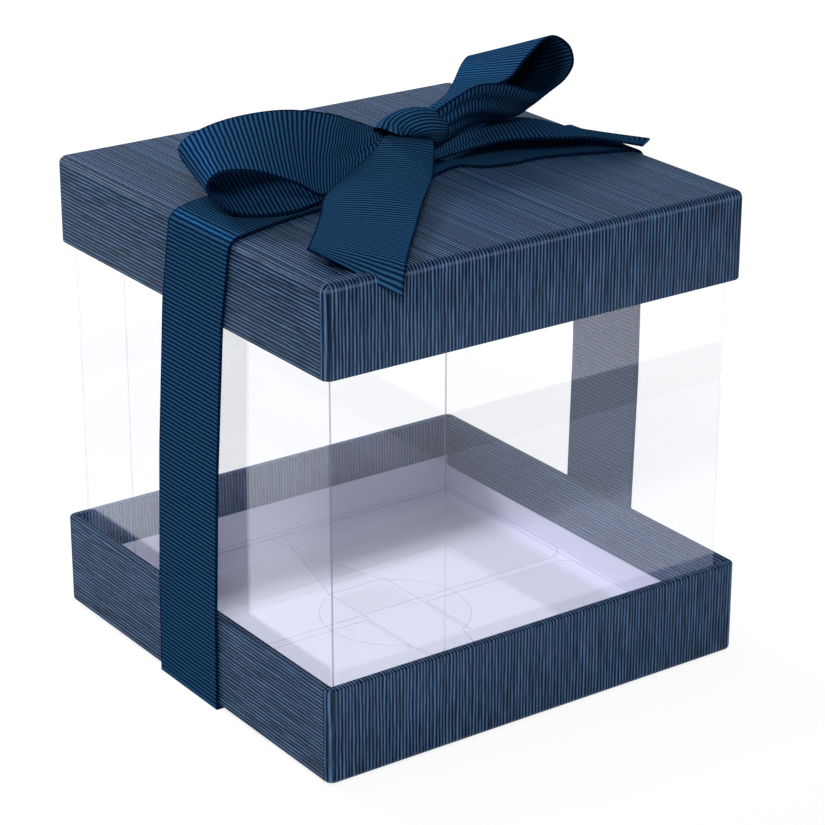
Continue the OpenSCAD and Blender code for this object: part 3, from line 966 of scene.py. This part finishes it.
@dataclass
class Ribbon:
    """Grosgrain ribbon: its width, its thickness and its one material."""

    material: Material
    width: float = RIBBON_WIDTH
    thickness: float = 0.45 * MM
    across: int = 16
    pleats: float = 2.5
    smooth_deg: float = 50.0

    def strip(self, name: str, stations: Sequence[Station], steps: int,
              origin: Vector) -> tuple[Piece, float]:
        """Models one stretch of ribbon through its stations.

        Args:
            name: The piece's name.
            stations: The stations, in millimetres from the origin.
            steps: The steps between stations.
            origin: The point that the stations count from.

        Returns:
            The piece and the stretch's length.
        """
        rows = densify(stations, steps)
        middles = [(Vector(s.near) + Vector(s.far)) / 2 for s in rows]
        centre = sum(middles, Vector()) / len(middles)
        points, places, shades, walked, outside = [], [], [], 0.0, 0.0
        last = None
        for i, row in enumerate(rows):
            forward = (middles[min(i + 1, len(rows) - 1)] - middles[max(i - 1, 0)]).normalized()
            up = forward.cross(Vector(row.far) - Vector(row.near)).normalized()
            outside += (middles[i] - centre).dot(up)
            spine = row.point(0.5, forward, up, self.pleats)
            walked += (spine - last).length * MM if last else 0.0
            last = spine
            for j in range(self.across + 1):
                t = j / self.across
                points.append(origin + row.point(t, forward, up, self.pleats) * MM)
                places.append((t * self.width, walked))
                shades.append(row.shade * min(1.0, max(0.0, (t - row.lit) / SHADE_SOFTNESS)))
        ring = self.across + 1
        faces = [(i * ring + j, i * ring + j + 1, (i + 1) * ring + j + 1, (i + 1) * ring + j)
                 for i in range(len(rows) - 1) for j in range(self.across)]
        mesh = bpy.data.meshes.new(name)
        mesh.from_pydata([tuple(p) for p in points], [], faces)
        layer = mesh.uv_layers.new(name=SHEET_MAP)
        for loop in mesh.loops:
            layer.data[loop.index].uv = places[loop.vertex_index]
        piece = bpy.data.objects.new(name, mesh)
        bpy.context.scene.collection.objects.link(piece)
        use_modifier(piece, "SOLIDIFY", thickness=self.thickness, offset=0.0)
        # Painted shade goes on the shell that faces the strip's middle
        if any(shades):
            mark = piece.data.attributes.new(SHADE_MARK, "FLOAT", "POINT")
            first = 0 if outside > 0 else len(points)
            for k, shade in enumerate(shades):
                mark.data[first + k].value = shade
        activate(piece)
        bpy.ops.object.shade_smooth_by_angle(angle=math.radians(self.smooth_deg))
        dress(piece, self.material)
        return piece, walked

    def place(self, piece: Piece, length: float, node: str, body: str, held: str,
              rests_on: Sequence[str], cut: float = 1.0) -> None:
        """Rides a stretch on its body and logs its length and the share of its flat area that it
        shows.

        Args:
            piece: The stretch.
            length: Its length.
            node: The node that it stands for.
            body: The body that it rides on.
            held: How the ribbon is held there; not used.
            rests_on: What it lies on; not used.
            cut: The share of the flat stretch that its slanted end leaves.
        """
        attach(piece, body)
        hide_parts(node)
        flat_area = self.width * length * cut
        shown = sum(face.area for face in piece.data.polygons) / 2 / flat_area
        LOG.info("%s: %.1f mm of ribbon, %.2f of its flat area", piece.name, length / MM, shown)


class Side(Enum):
    """A side of the box that the ribbon crosses."""

    LEFT = -1
    RIGHT = 1


# The band's middle leans sideways with height: (height share, sideways place in millimetres). The
# three tables of the band and the knot's rows were chosen by eye, with places that a scratch script
# had printed along the camera's rays to hand.
LEAN = {
    Side.LEFT: ((0.0, -0.1), (0.2, -0.65), (0.5, -1.7), (0.82, -4.15), (1.0, -7.8)),
    Side.RIGHT: ((0.0, -4.0), (0.2, -4.65), (0.5, -6.2), (0.82, -6.8), (1.0, -6.5)),
}


def lean_at(side: Side, share: float) -> float:
    """Gives the band's sideways place in millimetres at a share of its height."""
    rows = LEAN[side]
    for (low, a), (high, b) in zip(rows, rows[1:]):
        if share <= high:
            return a + (b - a) * (share - low) / (high - low)
    return rows[-1][1]


# The band on the lid: the place across the lid, the near and far edge, and the pleat, in millimetres
BAND_LEFT = ((-48.0, -18.8, 3.2, 0.0), (-44.0, -17.5, 5.0, 0.0), (-34.0, -14.8, 6.8, 0.0),
             (-20.0, -12.5, 7.0, 0.1), (-8.0, -10.0, 6.4, 0.15), (4.0, -8.5, 5.4, 0.15))
BAND_RIGHT = ((4.2, -8.0, 6.4, 0.15), (11.9, -5.6, 8.0, 0.15), (16.0, -8.9, 6.5, 0.1),
              (22.0, -10.6, 6.0, 0.1), (29.4, -10.6, 5.0, 0.0), (39.4, -13.8, 4.5, 0.0),
              (48.0, -17.2, 4.5, 0.0))


@dataclass
class Band:
    """The ribbon round the box: over the lid, down both sides and under the tray."""

    ribbon: Ribbon
    gap_mm: float = 0.3
    edge_r_mm: float = 2.0
    foot_mm: float = 0.55
    turns: int = 6
    flank_steps: int = 8
    lid_shares: tuple[float, ...] = (0.25, 0.5, 0.75, 1.0)
    tray_shares: tuple[float, ...] = (0.66, 0.33)
    side_steps: int = 3
    flat_steps: int = 8
    # Painted shade on the top face of ribbon_top_right beyond its lit share, under the back tail
    right_shade: float = 0.9
    right_lit: float = 0.3

    def build(self) -> None:
        """Builds the band's five stretches."""
        lid_low, lid_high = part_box("lid_wrap")
        _, tray_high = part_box("tray_wrap")
        top = Vector((0, 0, lid_high[2]))
        lift = self.gap_mm + self.ribbon.thickness / MM / 2
        for side in Side:
            self.side_stretch(side, lid_low, lid_high, tray_high, lift)
        for name, rows, shade in (
            ("ribbon_top_left", BAND_LEFT, 0.0),
            ("ribbon_top_right", BAND_RIGHT, self.right_shade),
        ):
            stations = [
                Station((x, near, lift), (x, far, lift), 0.0, pleat, shade=shade, lit=self.right_lit)
                for x, near, far, pleat in rows
            ]
            piece, length = self.ribbon.strip(f"{name}_band", stations, self.flat_steps, top)
            self.ribbon.place(piece, length, name, "ribbon", "laid", ["lid_wrap_paper"])
        self.under_strip(tray_high)

    def side_stretch(self, side: Side, lid_low: Sequence[float], lid_high: Sequence[float],
                     tray_high: Sequence[float], lift: float) -> None:
        """Models the stretch down one side, over the lid's edge.

        Args:
            side: The side.
            lid_low: The lid's lowest corner.
            lid_high: The lid's highest corner.
            tray_high: The tray's highest corner.
            lift: The ribbon's middle off the surfaces, in millimetres.
        """
        lid_x, lid_z, tray_x, tray_z, rim_z = (
            v / MM for v in (lid_high[0], lid_high[2], tray_high[0], tray_high[2], lid_low[2])
        )
        path = []
        reach = self.edge_r_mm + lift
        for k in range(self.turns + 1):
            turn = math.pi / 2 * k / self.turns
            path.append((
                lid_x - self.edge_r_mm + reach * math.sin(turn),
                lid_z - self.edge_r_mm + reach * math.cos(turn),
            ))
        for share in self.lid_shares:
            path.append((lid_x + lift, lid_z - share * (lid_high[2] - lid_low[2]) / MM))
        bottom_x = tray_x + lift
        for k in range(1, self.flank_steps + 1):
            share = k / self.flank_steps
            z = rim_z + (tray_z - rim_z) * share
            path.append((lid_x + lift + (bottom_x - lid_x - lift) * share, z))
        path += [(bottom_x, tray_z * share) for share in self.tray_shares]
        path.append((bottom_x, self.foot_mm))
        half = self.ribbon.width / MM / 2
        stations = []
        for x, z in path:
            middle = lean_at(side, min(1.0, z / lid_z))
            near, far = ((side.value * x, middle + edge, z) for edge in (-half, half))
            stations.append(Station(near, far))
        name = f"ribbon_side_{side.name.lower()}"
        rests_on = ["lid_wrap_paper", "tray_wrap_paper"]
        piece, length = self.ribbon.strip(f"{name}_band", stations, self.side_steps, Vector())
        self.ribbon.place(piece, length, name, "ribbon", "stretched", rests_on)

    def under_strip(self, tray_high: Sequence[float]) -> None:
        """Models the strip that the box stands on.

        Args:
            tray_high: The tray's highest corner.
        """
        half = self.ribbon.width / MM / 2
        thick = self.ribbon.thickness / MM
        reach = tray_high[0] / MM + self.gap_mm + thick
        left, right = LEAN[Side.LEFT][0][1], LEAN[Side.RIGHT][0][1]
        stations = [
            Station((x, m - half, thick / 2), (x, m + half, thick / 2))
            for x, m in ((-reach, left), (0.0, (left + right) / 2), (reach, right))
        ]
        name, rests_on = "ribbon_underside", ["tray_wrap_paper"]
        piece, length = self.ribbon.strip("ribbon_under_band", stations, self.flat_steps, Vector())
        self.ribbon.place(piece, length, name, "ribbon_under", "stretched", rests_on)


def stations(*rows: tuple) -> list[Station]:
    """Makes stations from rows that hold a station's values in their order."""
    return [Station(*row) for row in rows]


# Each row: near edge, far edge, bulge, pleat, bow and fold, in millimetres from the middle of the
# lid's top. Many of the edge points are a scratch script's output: rough places moved onto the
# camera's rays through pixels read off the photograph. The others were changed or chosen later.
LOOP_LEFT = stations(
    ((-2.6, -3.2, 7.5), (-2.6, 3.6, 8.8), 0.3, 0.5),
    ((-13.0, -6.0, 3.8), (-6.0, 3.6, 10.4), 0.9, 0.4),
    ((-24.9, -12.4, 2.8), (-13.2, 2.9, 13.5), 1.4, 0.15),
    ((-32.2, -13.1, 6.8), (-22.9, 4.9, 15.4), 0.6),
    ((-40.5, -11.7, 10.2), (-31.6, 8.8, 14.5)),
    ((-46.1, -8.6, 10.1), (-38.2, 12.1, 12.1)),
    ((-47.9, -6.8, 7.4), (-41.4, 14.4, 8.6)),
    ((-46.7, -7.1, 4.5), (-39.4, 13.8, 4.3)),
    ((-42.2, -10.5, 1.5), (-34.0, 12.6, 3.4)),
    ((-32.8, -13.8, 1.4), (-24.0, 11.0, 4.6)),
    ((-18.0, -9.0, 1.6), (-12.0, 8.0, 4.0), 0.0, 0.15),
    ((-2.6, -4.0, 2.6), (-2.6, 4.0, 2.8), 0.0, 0.3),
)
LOOP_RIGHT = stations(
    ((7.8, -1.6, 10.8), (8.8, 5.0, 8.4), 0.0, 0.3),
    ((14.6, -2.4, 14.0), (16.0, 9.0, 9.2), 0.0, 0.3),
    ((21.4, -3.4, 15.2), (22.9, 14.0, 9.1), 0.0, 0.1),
    ((28.2, -1.0, 15.3), (28.0, 18.2, 10.2)),
    ((35.4, 2.5, 18.0), (32.8, 21.8, 12.6)),
    ((43.3, 5.3, 20.4), (36.9, 24.3, 13.0)),
    ((47.5, 4.5, 18.3), (39.8, 23.6, 10.6)),
    ((48.0, 3.2, 14.9), (40.4, 22.1, 6.7)),
    ((44.7, 1.2, 12.6), (37.2, 20.0, 4.3), 0.8),
    ((39.6, -0.7, 11.3), (33.7, 15.2, 3.4), 1.7),
    ((33.6, -2.9, 12.0), (29.8, 8.5, 4.1), 2.0, 0.2),
    ((23.4, -4.6, 15.6), (22.9, 4.4, 5.0), 1.4, 0.4),
    ((15.4, -4.9, 16.0), (16.4, 0.2, 5.9), 0.6, 0.4),
    ((7.8, -2.6, 11.0), (7.8, -3.0, 5.4), 0.0, 0.2),
)
TAIL_FRONT = stations(
    ((-2.2, -1.4, 8.6), (7.4, -2.6, 6.8)),
    ((-5.6, -3.4, 8.1), (5.4, -6.0, 6.1), 0.4),
    ((-9.6, -5.6, 6.6), (2.4, -10.2, 4.6), 0.9),
    ((-17.9, -9.6, 4.7), (-3.0, -17.2, 3.2), 1.1),
    ((-27.3, -16.0, 3.8), (-11.6, -26.6, 2.9), 0.9),
    ((-33.0, -22.8, 2.7), (-19.8, -35.9, 2.1)),
    ((-39.2, -30.2, 2.5), (-29.1, -46.8, 2.0)),
    ((-43.6, -35.5, 2.8), (-33.6, -52.0, 1.0), 0.4),
    ((-47.2, -40.1, 3.9), (-35.3, -53.6, -4.0)),
)
TAIL_BACK = stations(
    ((7.0, -4.4, 2.4), (9.4, 0.7, 3.4), 0.0, 0.5),
    ((11.0, -4.2, 2.6), (14.6, 3.4, 3.6), 0.2, 0.5),
    ((16.7, -5.1, 3.4), (22.9, 8.3, 3.3), 0.6, 0.6),
    ((22.6, -6.9, 4.3), (32.4, 11.3, 2.9), 0.6),
    ((28.3, -9.5, 4.4), (37.9, 9.2, 2.8), 0.4),
    ((34.1, -11.8, 4.1), (40.9, 5.1, 2.7)),
    ((40.0, -13.8, 3.6), (43.8, 0.0, 2.1)),
    ((45.1, -17.9, 2.7), (47.0, -7.5, 2.1)),
    ((48.0, -20.2, 2.1), (52.5, -17.0, 2.0)),
)
KNOT = stations(
    ((7.4, -2.2, 5.0), (9.0, -2.4, 4.6), -0.3, 0.0, 0.3, 1.5),
    ((5.8, -3.4, 6.4), (9.5, -3.3, 5.9), -0.8, 0.0, 0.8, 3.5),
    ((3.7, -4.0, 7.3), (10.3, -3.3, 6.8), -1.2, 0.0, 1.4, 6.0),
    ((1.7, -4.3, 7.9), (10.9, -3.2, 7.8), -1.6, 0.0, 2.0, 8.5),
    ((-0.1, -4.3, 8.5), (11.2, -2.9, 8.8), -1.8, 0.0, 2.3, 11.0),
    ((-1.6, -4.1, 9.1), (11.3, -2.3, 9.7), -1.9, 0.0, 2.3, 11.0),
    ((-2.9, -3.7, 9.7), (11.0, -1.4, 10.5), -1.9, 0.0, 2.1, 11.0),
    ((-4.1, -2.8, 10.1), (10.4, -0.3, 11.0), -1.8, 0.0, 1.6, 11.0),
    ((-4.9, -1.5, 10.2), (9.7, 1.1, 11.2), -1.6, 0.0, 1.0, 11.0),
    ((-4.5, 0.4, 9.8), (9.6, 3.0, 10.6), -1.4, 0.0, 0.5, 11.0),
    ((-3.4, 2.4, 8.2), (9.8, 4.8, 8.8), -1.2, 0.0, 0.0, 11.0),
    ((-2.6, 3.5, 5.4), (10.1, 5.4, 5.6), -1.0, 0.0, 0.0, 11.0),
    ((-2.2, 2.9, 2.4), (10.1, 4.2, 2.4), -0.6, 0.0, 0.0, 11.0),
)


@dataclass
class Bow:
    """The bow on the lid: a knot, two loops and two tails."""

    ribbon: Ribbon
    steps: int = 10
    knot_steps: int = 6
    # Painted shade on the inner face of the loops beyond their lit share
    loop_shade: float = 0.8

    def build(self) -> None:
        """Builds the bow's five pieces."""
        top = Vector((0, 0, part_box("lid_wrap")[1][2]))
        for name, rows, held, cut, lit in (
            ("bow_loop_left", LOOP_LEFT, "folded", 1.0, 0.4),
            ("bow_loop_right", LOOP_RIGHT, "folded", 1.0, 0.0),
            ("bow_tail_front", TAIL_FRONT, "laid", 0.97, 1.0),
            ("bow_tail_back", TAIL_BACK, "laid", 0.82, 1.0),
        ):
            shaded = [replace(row, shade=self.loop_shade, lit=lit) for row in rows]
            piece, length = self.ribbon.strip(f"{name}_ribbon", shaded, self.steps, top)
            self.ribbon.place(piece, length, name, "ribbon", held, ["lid_wrap_paper"], cut)
        knot, length = self.ribbon.strip("bow_knot_ribbon", KNOT, self.knot_steps, top)
        self.ribbon.place(knot, length, "bow_knot", "ribbon", "gathered", ["ribbon_top_left_band"])


@dataclass
class Studio:
    """The floor, the lamps, the surroundings and the camera."""

    # The camera, fitted by least squares to corners read off the photograph
    eye: Point = (-0.3129, -0.4501, 0.2702)
    pitch_down: float = 21.96
    yaw: float = 35.19
    lens: float = 123.77
    sensor: float = 36.0
    clip: Pair = (0.01, 50.0)
    floor_size: float = 8.0
    floor_drop: float = 0.2 * MM
    floor_white: float = 0.86
    floor_soft: float = 0.2
    aim_height: float = 50 * MM
    key_from: Point = (-0.44, -0.64, 0.63)
    lamp_distance: float = 1.2
    key_size: float = 0.30
    key_power: float = 7.2
    back_from: Point = (-0.16, 0.82, 0.55)
    back_size: float = 0.3
    back_power: float = 12.0
    ambient: float = 0.31

    def build(self) -> None:
        """Builds the whole studio."""
        self.floor()
        self.lamps()
        self.surroundings()
        self.camera()

    def seen(self, g: Graph) -> Socket:
        """Gives 1 on a ray that the eye sees straight, in a gloss or through a clear piece."""
        path = g.node("LightPath")
        glossy = g.math("MAXIMUM", path.outputs["Is Glossy Ray"], path.outputs["Is Transmission Ray"])
        return g.math("MAXIMUM", path.outputs["Is Camera Ray"], glossy)

    def floor(self) -> None:
        """Lays a plain pale floor that keeps the object's faint shadow."""
        deselect_all()
        bpy.ops.mesh.primitive_grid_add(x_subdivisions=4, y_subdivisions=4, size=self.floor_size)
        floor = bpy.context.object
        floor.name = "studio_floor"
        floor.location = (0, 0, -self.floor_drop)
        g = Graph("studio_floor_white")
        plain = g.node("BsdfDiffuse", Color=grey(self.floor_white))
        glow = g.node("Emission", Color=WHITE, Strength=self.floor_white)
        soft = g.node("BsdfDiffuse", Color=grey(self.floor_soft))
        bright = g.node("AddShader")
        g.fill(bright.inputs[0], glow.outputs[0])
        g.fill(bright.inputs[1], soft.outputs[0])
        dress(floor, g.finish(g.mix(self.seen(g), plain, bright)))

    def lamps(self) -> None:
        """Hangs the key lamp and a lamp behind, tuned to tones measured in the photograph."""
        self.lamp("key_lamp", self.key_from, self.key_size, self.key_power)
        self.lamp("back_lamp", self.back_from, self.back_size, self.back_power)

    def lamp(self, name: str, come_from: Point, size: float, power: float) -> None:
        """Hangs one round lamp that faces the box.

        Args:
            name: The lamp's name.
            come_from: The way to the lamp.
            size: Its diameter.
            power: Its power in watts.
        """
        lamp = bpy.data.lights.new(name, "AREA")
        lamp.shape, lamp.size, lamp.energy = "DISK", size, power
        holder = bpy.data.objects.new(name, lamp)
        way = Vector(come_from).normalized()
        holder.location = way * self.lamp_distance + Vector((0, 0, self.aim_height))
        holder.rotation_euler = way.to_track_quat("Z", "Y").to_euler()
        bpy.context.scene.collection.objects.link(holder)

    def surroundings(self) -> None:
        """Surrounds the box with plain white, dimmer where it only lights the box."""
        g = WorldGraph("plain_white_room")
        strength = g.node("MapRange", Value=self.seen(g), To_Min=self.ambient, To_Max=1.0)
        glow = g.node("Background", Color=WHITE, Strength=strength.outputs[0])
        g.fill(g.output.inputs["Surface"], glow.outputs[0])

    def camera(self) -> None:
        """Puts the camera where the photograph was taken from."""
        data = bpy.data.cameras.new("camera")
        data.lens, data.sensor_width = self.lens, self.sensor
        data.clip_start, data.clip_end = self.clip
        camera = bpy.data.objects.new("camera", data)
        camera.location = self.eye
        camera.rotation_euler = (math.radians(90 - self.pitch_down), 0, math.radians(-self.yaw))
        bpy.context.scene.collection.objects.link(camera)
        bpy.context.scene.camera = camera


def main() -> None:
    """Builds the box's looks over the frame and reports each piece."""
    logging.basicConfig(level=logging.INFO, format="%(name)s: %(message)s")
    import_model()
    bpy.context.scene.view_settings.view_transform = "Standard"
    Studio().build()
    paper = RibbedPaper().material()
    seam = PlainSheet("seam_shadow", srgb(1, 3, 14), srgb(0, 1, 8), gloss=0.0).material()
    hidden = {
        "board": PlainSheet("grey_board", srgb(168, 160, 148), srgb(140, 132, 122)).material(),
        "corner_stays": PlainSheet("kraft_tape", srgb(205, 180, 140), srgb(185, 160, 122)).material(),
        "lining": PlainSheet("white_lining", srgb(220, 220, 238), srgb(212, 212, 232)).material(),
    }
    HalfBox("tray", "tray", False, turn_in_x=12 * MM, turn_in_y=9.5 * MM,
            corner_r=1.8 * MM, edge_r=0.9 * MM).build(paper, seam, hidden)
    HalfBox("lid", "lid", True, turn_in_x=11 * MM, turn_in_y=9 * MM,
            corner_r=1.8 * MM, edge_r=1.7 * MM).build(paper, seam, hidden)
    ClearSleeve().build()
    ribbon = Ribbon(Grosgrain().material())
    Band(ribbon).build()
    Bow(ribbon).build()


if __name__ == "__main__":
    main()
